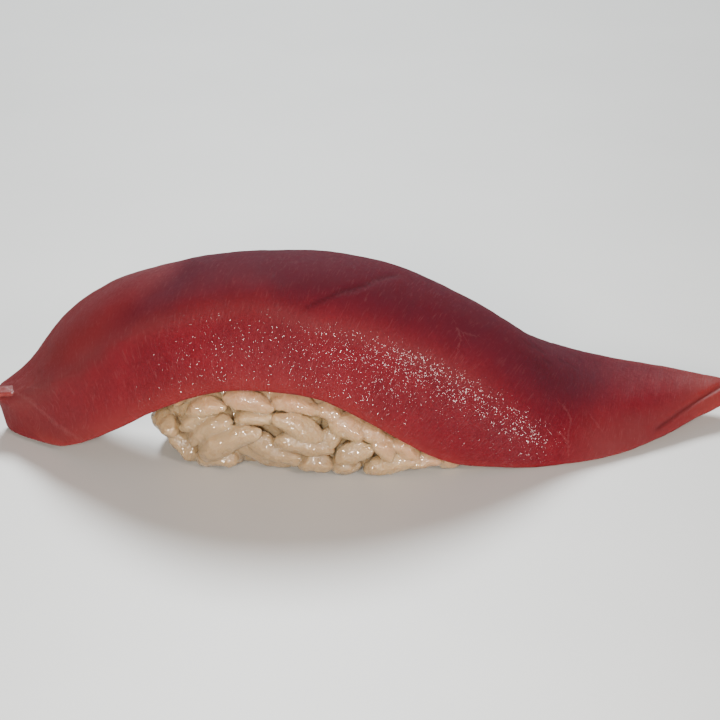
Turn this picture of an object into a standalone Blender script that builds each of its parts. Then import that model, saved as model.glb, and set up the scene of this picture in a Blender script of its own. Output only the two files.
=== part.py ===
"""Tuna nigiri: a thick slice of raw tuna draped along a small hand-pressed block of rice.

The slice runs along X, its cut edge shows on the -Y side, and the rice stands on z = 0.
The slice is lofted through a few section curves and smoothed. The rice is a solid core with whole
grains fused on wherever they show, trimmed to fit under the slice.
"""

import math
import random

import bmesh
import bpy
from mathutils import Matrix, Vector

MM = 0.001

# The slice. Each curve is pairs of (distance along X, value), in millimetres or degrees.
SLICE_LEFT = -38.3
SLICE_RIGHT = 41.6
LIFT = ((-39, -0.5), (-37, 0.0), (-34, 0.1), (-31, 1.2), (-28, 3.8), (-24, 7.4), (-20, 10.4), (-16, 12.4),
        (-8, 13.2), (0, 12.6), (9, 8.9), (16, 4.0), (22, 1.4), (30, 1.2), (42, 2.1))
ASIDE = ((-38, 3.0), (-31, 1.6), (-24, 1.2), (-10, 0.6), (8, 0.6), (20, 2.2), (28, 3.9), (35, 6.9), (42, 8.6))
WIDTH = ((-38, 13.0), (-30, 17), (-20, 21), (-8, 23), (8, 23), (14, 21.5), (20, 20), (27, 17), (33, 11.6),
         (38, 6.0), (42, 2.2))
FRONT_THICKNESS = ((-39, 4.0), (-33, 5.8), (-28, 7.2), (-20, 9.0), (-12, 9.2), (4, 9.4), (10, 9.2), (15, 8.0),
                   (20, 5.2), (28, 2.8), (36, 1.9), (42, 1.2))
BACK_THICKNESS = ((-39, 3.2), (-33, 6.5), (-26, 9.0), (-22, 9.1), (-18, 7.0), (-12, 6.5), (0, 6.6), (8, 5.8),
                  (18, 6.2), (26, 5.3), (34, 3.5), (38, 2.1), (42, 1.0))
FRONT_DROOP = ((-39, 0.2), (-31, 0.6), (-27, 1.8), (-20, 3.5), (-12, 4.3), (-4, 5.2), (2, 6.9), (9, 8.2),
               (13, 8.0), (18, 5.4), (24, 3.3), (30, 1.8), (42, 0.2))
BACK_DROOP = ((-39, 0.2), (-28, 0.4), (-20, 1.8), (-12, 2.9), (0, 3.8), (9, 4.6), (15, 3.0), (22, 1.0),
              (42, 0.2))
ROLL = ((-38, 4), (-26, 2), (-14, 0), (0, 0), (12, 2), (20, 5), (30, 3), (40, 0))
FRONT_LEAN = ((-39, 6.4), (-30, 5.6), (-22, 4.0), (-12, 2.6), (6, 2.4), (14, 2.2), (24, 1.2), (40, 0.4))
RIDGE_ROUNDING = ((-39, 1.0), (-22, 1.2), (-8, 2.2), (10, 2.4), (20, 1.4), (42, 0.6))
EDGE_ROUNDING = 1.2
TOP_COLUMNS = (-1.0, -0.5, 0.0, 0.5, 1.0)
RINGS = 15
SLICE_SMOOTHING = 2

# The knife left the slice's left end as one slanting face, with the corner behind it rounded off.
END_FACE_POINT = Vector((-37.4, 1.6, 0.4))
END_FACE_NORMAL = Vector((-0.72, -0.63, -0.06)).normalized()
BACK_CORNER = ((-1.0, 0.0), (0.2, 0.0), (0.55, 0.9), (1.0, 3.6))
END_FADES_OVER = 16.0
END_EDGE_CREASE = 0.6
PLATE_SOFTNESS = 0.8

# A thin tag of sinew trails from the top of that end.
TAG_ROOT = Vector((-35.5, 3.4, 4.6))
TAG_TIP = Vector((-41.0, 3.6, 4.3))
TAG_WIDTH = 3.6
TAG_THICKNESS = 1.2

# The rice core is a rounded loaf, cut flat where it stands.
RICE_MIDDLE = Vector((-2.3, 0.0, 5.5))
RICE_HALF = Vector((17.9, 7.9, 8.4))
RICE_SQUARENESS = 2.8
RICE_GAP = 0.35

# A cooked short grain, and the range that grains vary over.
GRAIN_LENGTH = 5.6
GRAIN_WIDTH = 2.4
GRAIN_THICKNESS = 2.2
GRAIN_BEND = 0.35
GRAIN_VARIES = 0.2
GRAIN_SPACING = 3.1
GRAIN_SINK = 0.2
GRAIN_CLEARANCE = 0.1
EDGE_MARGIN = 0.12
CUT_SHARE = 0.45
GRAIN_SIDES = 6
GRAIN_BANDS = 4
GRAIN_TRIES = 2600
GRAIN_SEED = 11

# The grains that show under the front edge, as (X, height, tilt in degrees, length, width, how far it
# stands out of the layer).
FRONT_GRAINS = (
    (-13.2, 3.6, 27, 7.6, 2.8, 0.5), (-15.4, 4.4, 36, 6.0, 2.2, 0.0), (-19.6, 3.9, -5, 4.6, 2.4, 0.0),
    (-18.2, 1.8, -52, 4.5, 2.0, -0.2), (-14.7, 1.0, 8, 4.9, 2.2, 0.0), (-11.3, 8.0, -10, 5.6, 2.3, 0.1),
    (-15.6, 6.8, 18, 4.8, 2.0, 0.0), (-6.7, 7.9, -12, 4.8, 2.2, 0.0), (-10.8, 6.2, 3, 4.5, 1.8, -0.5),
    (-6.3, 5.4, -28, 6.0, 2.3, 0.2), (-5.7, 3.6, -12, 6.4, 2.3, 0.3), (-10.3, 3.0, -30, 4.6, 2.2, -0.4),
    (-8.1, 2.1, -14, 4.6, 2.1, -0.3), (-4.6, 1.4, -5, 3.8, 2.0, 0.0), (-1.3, 5.5, -28, 4.2, 2.6, 0.1),
    (-0.5, 2.6, 22, 4.6, 2.4, 0.3), (-1.4, 0.5, 5, 3.2, 2.0, 0.1), (2.4, 3.1, -58, 3.8, 2.0, 0.1),
    (3.3, 1.4, 12, 6.2, 2.1, 0.2), (6.7, 1.5, 10, 4.0, 1.7, 0.0), (1.0, 4.7, -28, 3.8, 2.0, 0.0),
    (-3.3, 6.7, -25, 3.8, 2.0, 0.0), (4.5, 3.0, -35, 3.8, 1.8, 0.0), (-16.8, 5.2, 30, 4.2, 1.9, -0.1),
    (-3.1, 4.1, 40, 3.8, 2.1, -0.1),
)

TUNA_RED = (0.30, 0.022, 0.028, 1.0)
RICE_WHITE = (0.72, 0.60, 0.42, 1.0)


def curve_value(pairs, at):
    """The value at a distance, on a smooth curve through the pairs, flat beyond both ends."""
    if at <= pairs[0][0]:
        return pairs[0][1]
    if at >= pairs[-1][0]:
        return pairs[-1][1]
    last = len(pairs) - 1
    i = max(k for k in range(last) if pairs[k][0] <= at)
    before, after = max(i - 1, 0), min(i + 2, last)
    (x0, y0), (x1, y1) = pairs[i], pairs[i + 1]
    span = x1 - x0
    slope0 = (y1 - pairs[before][1]) / (x1 - pairs[before][0])
    slope1 = (pairs[after][1] - y0) / (pairs[after][0] - x0)
    t = (at - x0) / span
    ease = t * t * (3 - 2 * t)
    return y0 + (y1 - y0) * ease + span * (slope0 * t * (1 - t) ** 2 - slope1 * t * t * (1 - t))


def slice_frame(along):
    """The middle of the slice's underside there, with its width and thickness directions."""
    step = 0.5
    middle = Vector((along, curve_value(ASIDE, along), curve_value(LIFT, along)))
    rise = curve_value(LIFT, along + step) - curve_value(LIFT, along - step)
    length_way = Vector((2 * step, 0, rise)).normalized()
    width_way = Matrix.Rotation(math.radians(curve_value(ROLL, along)), 3, length_way) @ Vector((0, 1, 0))
    return middle, width_way, length_way.cross(width_way)


def slice_point(along, across, up):
    """A point of the slice: across runs from -1 at the front edge to 1 at the back, up from 0 to 1."""
    middle, width_way, up_way = slice_frame(along)
    front, back = curve_value(FRONT_THICKNESS, along), curve_value(BACK_THICKNESS, along)
    thickness = front + (back - front) * (across + 1) / 2
    set_back = curve_value(FRONT_LEAN, along) * up * (1 - across) / 2
    sideways = across * curve_value(WIDTH, along) / 2 + set_back
    droop = curve_value(FRONT_DROOP if across < 0 else BACK_DROOP, along)
    height = up * thickness - droop * across ** 2
    return middle + width_way * sideways + up_way * height


def end_of_slice(across, up):
    """How far along the slice its left end lies there: on the knife's face, or on the corner behind it."""
    near, far = SLICE_LEFT - 8, SLICE_LEFT + 20
    for _ in range(24):
        middle = (near + far) / 2
        outside = END_FACE_NORMAL.dot(slice_point(middle, across, up) - END_FACE_POINT) > 0
        near, far = (middle, far) if outside else (near, middle)
    return max(near, SLICE_LEFT + curve_value(BACK_CORNER, across))


def section_outline(along):
    """The points round one section as (across, up), counter-clockwise seen from the right end."""
    half = curve_value(WIDTH, along) / 2
    thin = min(curve_value(FRONT_THICKNESS, along), curve_value(BACK_THICKNESS, along))
    edge = min(EDGE_ROUNDING, half * 0.4, thin * 0.4)
    ridge = min(curve_value(RIDGE_ROUNDING, along), half * 0.4, thin * 0.4)
    inset, ridge_inset = 1 - edge / half, 1 - ridge / half
    bottom = [(column * inset, 0.0) for column in TOP_COLUMNS]
    top = [(column * (inset if column > 0 else ridge_inset), 1.0) for column in reversed(TOP_COLUMNS)]
    back_side = [(1.0, edge / thin), (1.0, 1 - edge / thin)]
    front_side = [(-1.0, 1 - ridge / thin), (-1.0, edge / thin)]
    return bottom + back_side + top + front_side


def rested(point):
    """The point with its height eased so that nothing sinks into the plate."""
    eased = (point.z + math.hypot(point.z, PLATE_SOFTNESS)) / 2
    return Vector((point.x, point.y, eased)) * MM


def slice_cage():
    """The rings of points that the slice is lofted through, from its left end to its right tip."""
    rings = []
    for i in range(RINGS):
        along = SLICE_LEFT + (SLICE_RIGHT - SLICE_LEFT) * i / (RINGS - 1)
        fade = max(0.0, 1 - (along - SLICE_LEFT) / END_FADES_OVER)
        ring = [
            slice_point(along + fade * (end_of_slice(across, up) - SLICE_LEFT), across, up)
            for across, up in section_outline(along)
        ]
        rings.append([rested(point) for point in ring])
    return rings


def loft(name, rings, crease=0.0):
    """A closed mesh through rings of equal length. Each end is capped by strips between the ring's two
    long sides, and the first ring's edges are creased."""
    mesh = bmesh.new()
    made = [[mesh.verts.new(point) for point in ring] for ring in rings]
    count = len(rings[0])
    for near, far in zip(made, made[1:]):
        for j in range(count):
            k = (j + 1) % count
            mesh.faces.new((near[j], far[j], far[k], near[k]))
    for ring in (made[0], made[-1]):
        for j in range(-1, count // 2 - 2):
            mesh.faces.new((ring[j], ring[j + 1], ring[count - 4 - j], ring[count - 3 - j]))
    layer = mesh.edges.layers.float.new("crease_edge")
    for j in range(count):
        mesh.edges.get((made[0][j - 1], made[0][j]))[layer] = crease
    bmesh.ops.recalc_face_normals(mesh, faces=mesh.faces)
    data = bpy.data.meshes.new(name)
    mesh.to_mesh(data)
    mesh.free()
    return data


def tag_rings():
    """Square rings along the sinew tag, from inside the slice to its tip."""
    rings = []
    for share in (0.0, 0.45, 0.8, 1.0):
        middle = TAG_ROOT.lerp(TAG_TIP, share)
        wide, thick = TAG_WIDTH / 2 * (1 - 0.6 * share), TAG_THICKNESS / 2 * (1 - 0.45 * share)
        corners = ((-wide, -thick), (wide, -thick), (wide, thick), (-wide, thick))
        rings.append([(middle + Vector((0, y, z))) * MM for y, z in corners])
    return rings


def food_material(name, colour, roughness):
    material = bpy.data.materials.new(name)
    material.use_nodes = True
    shader = material.node_tree.nodes["Principled BSDF"]
    shader.inputs["Base Color"].default_value = colour
    shader.inputs["Roughness"].default_value = roughness
    shader.inputs["Metallic"].default_value = 0.0
    return material


def add_object(name, data, collection):
    made = bpy.data.objects.new(name, data)
    collection.objects.link(made)
    return made


def add_smoothing(target, levels):
    smoothing = target.modifiers.new("Smoothing", "SUBSURF")
    smoothing.levels = levels
    smoothing.render_levels = levels


def apply_modifiers(target):
    """Puts the object's evaluated mesh in place of its own, and drops its modifiers."""
    graph = bpy.context.evaluated_depsgraph_get()
    shaped = bpy.data.meshes.new_from_object(target.evaluated_get(graph))
    target.modifiers.clear()
    target.data = shaped


def join_or_cut(target, operation, collection):
    """One Boolean of the target with every object of a collection, applied, and those objects removed."""
    boolean = target.modifiers.new("Joining", "BOOLEAN")
    boolean.operation = operation
    boolean.operand_type = "COLLECTION"
    boolean.collection = collection
    boolean.solver = "EXACT"
    bpy.context.view_layer.update()
    apply_modifiers(target)
    for used in list(collection.objects):
        bpy.data.objects.remove(used)


def keep_outer_shell(data):
    """Leaves only the widest connected shell: loose scraps go, and hollows sealed by the joining fill."""
    mesh = bmesh.new()
    mesh.from_mesh(data)
    unseen = set(mesh.verts)
    shells = []
    while unseen:
        front = [unseen.pop()]
        shell = list(front)
        while front:
            reached = {edge.other_vert(v) for v in front for edge in v.link_edges} & unseen
            unseen -= reached
            front = list(reached)
            shell += front
        shells.append(shell)
    shells.sort(key=lambda shell: max(v.co.x for v in shell) - min(v.co.x for v in shell))
    loose = [v for shell in shells[:-1] for v in shell]
    bmesh.ops.delete(mesh, geom=loose, context="VERTS")
    mesh.to_mesh(data)
    mesh.free()


def plain_slice(name, collection):
    tuna = add_object(name, loft(name, slice_cage(), END_EDGE_CREASE), collection)
    add_smoothing(tuna, SLICE_SMOOTHING)
    apply_modifiers(tuna)
    return tuna


def make_slice(collection, tools):
    tuna = plain_slice("tuna_slice", collection)
    tag = add_object("sinew_tag", loft("sinew_tag", tag_rings()), tools)
    add_smoothing(tag, 1)
    join_or_cut(tuna, "UNION", tools)
    tuna.data.materials.clear()
    tuna.data.materials.append(food_material("tuna_flesh", TUNA_RED, 0.35))
    tuna.data.shade_smooth()


def superellipse(share):
    """The other half-axis share of a rounded square outline, for this share of one half-axis."""
    return max(0.0, 1 - abs(share) ** RICE_SQUARENESS) ** (1 / RICE_SQUARENESS)


def rice_core_mesh():
    mesh = bmesh.new()
    bmesh.ops.create_uvsphere(mesh, u_segments=22, v_segments=12, radius=1.0)
    for vert in mesh.verts:
        reach = sum(abs(part) ** RICE_SQUARENESS for part in vert.co) ** (-1 / RICE_SQUARENESS)
        vert.co = (RICE_MIDDLE + vert.co * reach * RICE_HALF) * MM
        vert.co.z = max(vert.co.z, 0.0)
    data = bpy.data.meshes.new("rice")
    mesh.to_mesh(data)
    mesh.free()
    return data


def wall_point(heading, height):
    """A point on the core's side wall, and the wall's outward normal there."""
    level = superellipse((height - RICE_MIDDLE.z) / RICE_HALF.z)
    flat = Vector((math.cos(heading), math.sin(heading), 0))
    reach = sum(abs(part) ** RICE_SQUARENESS for part in flat) ** (-1 / RICE_SQUARENESS)
    offset = flat * reach * level
    offset.z = (height - RICE_MIDDLE.z) / RICE_HALF.z
    slope = [math.copysign(abs(part) ** (RICE_SQUARENESS - 1), part) for part in offset]
    normal = Vector(slope[i] / RICE_HALF[i] for i in range(3)).normalized()
    return Vector(RICE_MIDDLE[i] + offset[i] * RICE_HALF[i] for i in range(3)), normal


def front_heading(x, height):
    """The heading at which the front wall passes this X."""
    level = superellipse((height - RICE_MIDDLE.z) / RICE_HALF.z)
    share = max(-0.97, min(0.97, (x - RICE_MIDDLE.x) / (RICE_HALF.x * level)))
    return math.atan2(-superellipse(share), share)


def room_under_slice(point):
    """How far the point lies under the slice's underside, and how far across the slice."""
    across = (point.y - curve_value(ASIDE, point.x)) * 2 / curve_value(WIDTH, point.x)
    along = point.x
    for _ in range(6):
        above = slice_point(along, max(-1.0, min(1.0, across)), 0)
        along += point.x - above.x
    return above.z - point.z, abs(across)


def grain_mesh(length, width, thickness):
    mesh = bmesh.new()
    bmesh.ops.create_uvsphere(mesh, u_segments=GRAIN_SIDES, v_segments=GRAIN_BANDS, radius=0.5)
    for vert in mesh.verts:
        share = vert.co.z * 2
        side = vert.co.x * width + GRAIN_BEND * (1 - share * share)
        vert.co = Vector((vert.co.z * length, side, vert.co.y * thickness)) * MM
    data = bpy.data.meshes.new("grain")
    mesh.to_mesh(data)
    mesh.free()
    return data


def sticks_out(points):
    """Whether a grain would be cut in half by the slice or stand out past its edge."""
    rooms = [room_under_slice(point) for point in points]
    inside = sum(1 for room, _ in rooms if room < RICE_GAP)
    past_edge = any(room < RICE_GAP and across > 1 - EDGE_MARGIN for room, across in rooms)
    return past_edge or inside > CUT_SHARE * len(points)


def place_grain(heading, height, tilt, size, proud, collection):
    """Puts one grain on the wall, its length at a tilt from level and part of it sunk into the core.

    Returns where it sits, or nothing where the slice leaves no room for it."""
    point, normal = wall_point(heading, height)
    level_way = Vector((-normal.y, normal.x, 0)).normalized()
    if level_way.x < 0:
        level_way.negate()
    up_way = normal.cross(level_way)
    if up_way.z < 0:
        up_way.negate()
    long_way = level_way * math.cos(tilt) + up_way * math.sin(tilt)
    grain = add_object("grain", grain_mesh(*size), collection)
    turned = Matrix((long_way, normal.cross(long_way), normal)).transposed().to_4x4()
    seat = point + normal * (size[2] / 2 - GRAIN_SINK * GRAIN_THICKNESS + proud)
    points = [seat + (turned @ vert.co) / MM for vert in grain.data.vertices]
    lift = max(0.0, GRAIN_CLEARANCE - min(corner.z for corner in points))
    seat.z += lift
    for corner in points:
        corner.z += lift
    if sticks_out(points):
        bpy.data.objects.remove(grain)
        return None
    grain.matrix_world = Matrix.Translation(seat * MM) @ turned
    return seat


def scatter_grains(collection):
    """The grains chosen along the front, then grains thrown over the rest of the wall, never too close."""
    sizes = random.Random(GRAIN_SEED)
    seats = []
    for x, height, tilt, length, width, proud in FRONT_GRAINS:
        thickness = GRAIN_THICKNESS * sizes.uniform(0.9, 1.1)
        heading, size = front_heading(x, height), (length, width, thickness)
        seat = place_grain(heading, height, math.radians(tilt), size, proud, collection)
        if seat:
            seats.append(seat)
    for _ in range(GRAIN_TRIES):
        heading, height = sizes.uniform(-math.pi, math.pi), sizes.uniform(0.9, 13.0)
        tilt = sizes.gauss(0, 0.6)
        length = GRAIN_LENGTH * sizes.uniform(1 - GRAIN_VARIES, 1 + GRAIN_VARIES)
        width = GRAIN_WIDTH * sizes.uniform(0.9, 1.1)
        point, _ = wall_point(heading, height)
        if all((point - seat).length > GRAIN_SPACING for seat in seats):
            thickness = GRAIN_THICKNESS * sizes.uniform(0.9, 1.1)
            seat = place_grain(heading, height, tilt, (length, width, thickness), 0.0, collection)
            if seat:
                seats.append(seat)


def make_rice(collection, tools):
    rice = add_object("rice", rice_core_mesh(), collection)
    scatter_grains(tools)
    join_or_cut(rice, "UNION", tools)
    keep_outer_shell(rice.data)
    room = plain_slice("room_for_slice", tools)
    swell = room.modifiers.new("Gap", "DISPLACE")
    swell.strength = RICE_GAP * MM
    swell.mid_level = 0.0
    join_or_cut(rice, "DIFFERENCE", tools)
    keep_outer_shell(rice.data)
    rice.data.materials.clear()
    rice.data.materials.append(food_material("cooked_rice", RICE_WHITE, 0.35))
    return rice


def centre(pieces):
    """Moves the pieces together so that the middle of their shared box stands over the origin."""
    points = [vert.co for piece in pieces for vert in piece.data.vertices]
    for axis in (0, 1):
        middle = (min(point[axis] for point in points) + max(point[axis] for point in points)) / 2
        shift = Vector([-middle if axis == k else 0.0 for k in range(3)])
        for piece in pieces:
            piece.data.transform(Matrix.Translation(shift))


def main():
    for old in list(bpy.data.objects):
        bpy.data.objects.remove(old)
    nigiri = bpy.data.collections.new("tuna_nigiri")
    tools = bpy.data.collections.new("joined_and_cut_away")
    for collection in (nigiri, tools):
        bpy.context.scene.collection.children.link(collection)
    make_slice(nigiri, tools)
    make_rice(nigiri, tools)
    centre(nigiri.objects)


main()
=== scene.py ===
"""Tuna nigiri: the finish of a slice of raw tuna on a block of rice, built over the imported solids.

The slice is lofted through the same section curves as the solid, much finer, and given the relief of cut
raw fish. The rice is whole cooked grains laid over a smaller core. Lengths in the tables are millimetres.
"""

import math
import random

import bmesh
import bpy
import numpy as np
from mathutils import Matrix, Vector, noise


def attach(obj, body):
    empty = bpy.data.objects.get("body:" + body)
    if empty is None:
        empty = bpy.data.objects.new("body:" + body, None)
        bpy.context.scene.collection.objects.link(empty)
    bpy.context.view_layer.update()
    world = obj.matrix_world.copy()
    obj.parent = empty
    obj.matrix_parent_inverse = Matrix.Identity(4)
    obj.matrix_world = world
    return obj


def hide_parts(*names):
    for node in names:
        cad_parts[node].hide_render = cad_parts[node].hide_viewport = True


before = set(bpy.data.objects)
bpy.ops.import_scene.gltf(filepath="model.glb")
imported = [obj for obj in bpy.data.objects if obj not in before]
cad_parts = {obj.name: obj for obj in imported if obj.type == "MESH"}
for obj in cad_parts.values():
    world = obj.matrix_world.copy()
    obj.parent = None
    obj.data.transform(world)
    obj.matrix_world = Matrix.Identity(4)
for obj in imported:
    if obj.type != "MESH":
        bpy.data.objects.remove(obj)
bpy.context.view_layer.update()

bl_info = {
    "name": "Tuna Nigiri",
    "version": (1, 0, 0),
    "blender": (4, 5, 0),
    "location": "View3D > Sidebar > Nigiri",
    "description": "Builds a piece of tuna nigiri with its slice, rice grains and a plain studio",
    "category": "Add Mesh",
}

MM = 0.001

# From the drawing's own origin to the middle of the piece's box.
TO_MIDDLE = Vector((-0.208, -0.822, 0.0))

# The slice's section curves, each as pairs of (distance along X, value), as in the solid.
SLICE_LEFT = -38.3
SLICE_RIGHT = 41.6
LIFT = ((-39, -0.5), (-37, 0.0), (-34, 0.1), (-31, 1.2), (-28, 3.8), (-24, 7.4), (-20, 10.4), (-16, 12.4),
        (-8, 13.2), (0, 12.6), (9, 8.9), (16, 4.0), (22, 1.4), (30, 1.2), (42, 2.1))
ASIDE = ((-38, 3.0), (-31, 1.6), (-24, 1.2), (-10, 0.6), (8, 0.6), (20, 2.2), (28, 3.9), (35, 6.9),
         (42, 8.6))
WIDTH = ((-38, 13.0), (-30, 17), (-20, 21), (-8, 23), (8, 23), (14, 21.5), (20, 20), (27, 17), (33, 11.6),
         (38, 6.0), (42, 2.2))
FRONT_THICKNESS = ((-39, 4.0), (-33, 5.8), (-28, 7.2), (-20, 9.0), (-12, 9.2), (4, 9.4), (10, 9.2),
                   (15, 8.0), (20, 5.2), (28, 2.8), (36, 1.9), (42, 1.2))
BACK_THICKNESS = ((-39, 3.2), (-33, 6.5), (-26, 9.0), (-22, 9.1), (-18, 7.0), (-12, 6.5), (0, 6.6),
                  (8, 5.8), (18, 6.2), (26, 5.3), (34, 3.5), (38, 2.1), (42, 1.0))
FRONT_DROOP = ((-39, 0.2), (-31, 0.6), (-27, 1.8), (-20, 3.5), (-12, 4.3), (-4, 5.2), (2, 6.9), (9, 8.2),
               (13, 8.0), (18, 5.4), (24, 3.3), (30, 1.8), (42, 0.2))
BACK_DROOP = ((-39, 0.2), (-28, 0.4), (-20, 1.8), (-12, 2.9), (0, 3.8), (9, 4.6), (15, 3.0), (22, 1.0),
              (42, 0.2))
ROLL = ((-38, 4), (-26, 2), (-14, 0), (0, 0), (12, 2), (20, 5), (30, 3), (40, 0))
FRONT_LEAN = ((-39, 6.4), (-30, 5.6), (-22, 4.0), (-12, 2.6), (6, 2.4), (14, 2.2), (24, 1.2), (40, 0.4))
RIDGE_ROUNDING = ((-39, 1.0), (-22, 1.2), (-8, 2.2), (10, 2.4), (20, 1.4), (42, 0.6))
EDGE_ROUNDING = 1.2
TOP_COLUMNS = (-1.0, -0.5, 0.0, 0.5, 1.0)
RINGS = 15

# The knife's plane at the left end, and how far the corner behind it is set back, as in the solid.
END_FACE_POINT = Vector((-37.4, 1.6, 0.4))
END_FACE_NORMAL = Vector((-0.72, -0.63, -0.06)).normalized()
BACK_CORNER = ((-1.0, 0.0), (0.2, 0.0), (0.55, 0.9), (1.0, 3.6))
END_FADES_OVER = 16.0
END_EDGE_CREASE = 0.6
FLOOR_SOFTNESS = 0.8
SMOOTHING_LEVELS = 4

# The knife's face at the left end, pressed flat and turned a little to the front.
PAD_POINT = Vector((-36.9, 1.4, 0.4))
PAD_NORMAL = Vector((-0.62, -0.78, -0.08)).normalized()
PAD_SOFTNESS = 0.5

# The thin tag of sinew, and the shares of its width and thickness that are gone at its tip.
TAG_ROOT = Vector((-35.5, 3.4, 4.6))
TAG_TIP = Vector((-41.0, 3.6, 4.3))
TAG_WIDTH = 3.6
TAG_THICKNESS = 1.2
TAG_NARROWS = 0.6
TAG_THINS = 0.45
TAG_RINGS = 5

# The rice's core and the rule that its grains are laid by, as in the solid.
RICE_MIDDLE = Vector((-2.3, 0.0, 5.5))
RICE_HALF = Vector((17.9, 7.9, 8.4))
RICE_SQUARENESS = 2.8
RICE_GAP = 0.35
GRAIN_VARIES = 0.2
GRAIN_WIDTH_VARIES = 0.1
GRAIN_HEIGHTS = (0.9, 13.0)
GRAIN_TILT_SPREAD = 0.6
GRAIN_SPACING = 3.1
GRAIN_THICKNESS = 2.2
GRAIN_BEND = 0.35
GRAIN_SINK = 0.2
GRAIN_CLEARANCE = 0.1
EDGE_MARGIN = 0.12
CUT_SHARE = 0.45
GRAIN_TRIES = 2600
GRAIN_SEED = 11

# The grains that show under the front edge, as (X, height, tilt in degrees, length, width, how far each
# stands out of the layer).
FRONT_GRAINS = (
    (-13.2, 3.6, 27, 7.6, 2.8, 0.5), (-15.4, 4.4, 36, 6.0, 2.2, 0.0), (-19.6, 3.9, -5, 4.6, 2.4, 0.0),
    (-18.2, 1.8, -52, 4.5, 2.0, -0.2), (-14.7, 1.0, 8, 4.9, 2.2, 0.0), (-11.3, 8.0, -10, 5.6, 2.3, 0.1),
    (-15.6, 6.8, 18, 4.8, 2.0, 0.0), (-6.7, 7.9, -12, 4.8, 2.2, 0.0), (-10.8, 6.2, 3, 4.5, 1.8, -0.5),
    (-6.3, 5.4, -28, 6.0, 2.3, 0.2), (-5.7, 3.6, -12, 6.4, 2.3, 0.3), (-10.3, 3.0, -30, 4.6, 2.2, -0.4),
    (-8.1, 2.1, -14, 4.6, 2.1, -0.3), (-4.6, 1.4, -5, 3.8, 2.0, 0.0), (-1.3, 5.5, -28, 4.2, 2.6, 0.1),
    (-0.5, 2.6, 22, 4.6, 2.4, 0.3), (-1.4, 0.5, 5, 3.2, 2.0, 0.1), (2.4, 3.1, -58, 3.8, 2.0, 0.1),
    (3.3, 1.4, 12, 6.2, 2.1, 0.2), (6.7, 1.5, 10, 4.0, 1.7, 0.0), (1.0, 4.7, -28, 3.8, 2.0, 0.0),
    (-3.3, 6.7, -25, 3.8, 2.0, 0.0), (4.5, 3.0, -35, 3.8, 1.8, 0.0), (-16.8, 5.2, 30, 4.2, 1.9, -0.1),
    (-3.1, 4.1, 40, 3.8, 2.1, -0.1),
)

# A second layer of grains lies deeper, so that no bare core shows between the outer ones. The joints
# between grains that are sharper than the joint angle are filled a little.
INNER_LAYER_DEPTH = 1.3
INNER_SPACING = 2.7
INNER_SEED = 29
GRAIN_SIDES = 28
GRAIN_BANDS = 26
GRAIN_SHAPES_SEED = 5
GRAINS_APART = 0.8
CORE_SHRINK = 0.9
CORE_BUMPS = 0.035
CORE_BUMP_SIZE = 1.6
CORE_BOTTOM = 0.15
JOINT_ANGLE = math.radians(16)
JOINT_ROUNDS = 9
JOINT_WELD = 0.02

# The photograph's frame, and marks on the slice read in its pixels.
PHOTO_SIZE = 720
PIXELS_A_MM = 9.5
SENSOR = 36.0
VIEW_HEIGHT = math.radians(22.0)
VIEW_DISTANCE = 300.0
VIEW_LENS = 142.5
VIEW_TARGET = TO_MIDDLE + Vector((0, 0, 9.5))
PAD_EDGE_PIXELS = ((2, 383), (14, 391), (28, 399), (43, 412), (60, 427), (84, 442))
RIDGE_PIXELS = ((20, 398), (67, 367), (110, 335), (160, 320), (210, 308), (260, 305), (300, 318),
                (372, 333), (435, 358), (500, 392), (546, 424), (580, 424), (612, 408), (640, 385),
                (660, 365))
FLANGE_PIXELS = ((196, 256), (165, 285), (140, 305), (112, 327), (92, 348), (70, 364), (45, 378))
CREASE_PIXELS = ((408, 273), (384, 277), (374, 281), (364, 286), (352, 290), (340, 292), (328, 298),
                 (311, 305), (299, 314))
SLIT_PIXELS = ((652, 433), (663, 424), (672, 418), (684, 409), (700, 398), (724, 384))
SINEW_PIXELS = (
    ((561, 404), (567, 411), (571, 420), (568, 436), (568, 453)),
    ((556, 431), (564, 437), (569, 446)),
    ((593, 419), (599, 427)),
    ((457, 329), (461, 338), (458, 348)),
    ((458, 331), (474, 336)),
    ((310, 338), (313, 350)),
    ((6, 384), (20, 380), (30, 371)),
    ((14, 392), (24, 386), (36, 388)),
)
WRINKLES_FROM, WRINKLES_TO = (522, 330), (572, 372)

# The distance of a point that has no mark near it, and how far the strands lean along the slice.
FAR_OFF = 9.0
STRAND_SLANT = 0.22

# Where along the slice its looks change, each as (from, to).
LEFT_END = (-34.0, -16.0)
PAD_REACH = (-24.0, -20.0)
PAD_COLOUR_REACH = (-28.0, -26.0)
FLANGE_REACH = (-25.0, -11.0)
TAIL = (24.0, 32.0)
TAIL_TIP = (31.0, 42.0)
TAIL_FRONT = (20.0, 27.0)
TOP_FADES = (18.0, 38.0)
RIDGE_HIGHLIGHT_ENDS = (8.0, 16.0)
FILM_GATHERS = (-6.0, 6.0)
FILM_NARROWS = (8.0, 20.0)
FILM_ENDS = (17.0, 22.0)

# What is the same all over the tag, under the names that the material reads. Its "thin" share paints on it
# a glow of light coming through.
TAG_FINISH = {
    "top": 0.0, "milky_and_lit": 0.9, "wet": 0.1, "thin": 0.5, "sinew_mm": 0.05, "pad_edge_mm": FAR_OFF,
    "wrinkle": 0.0, "groove": 0.0,
}

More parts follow.
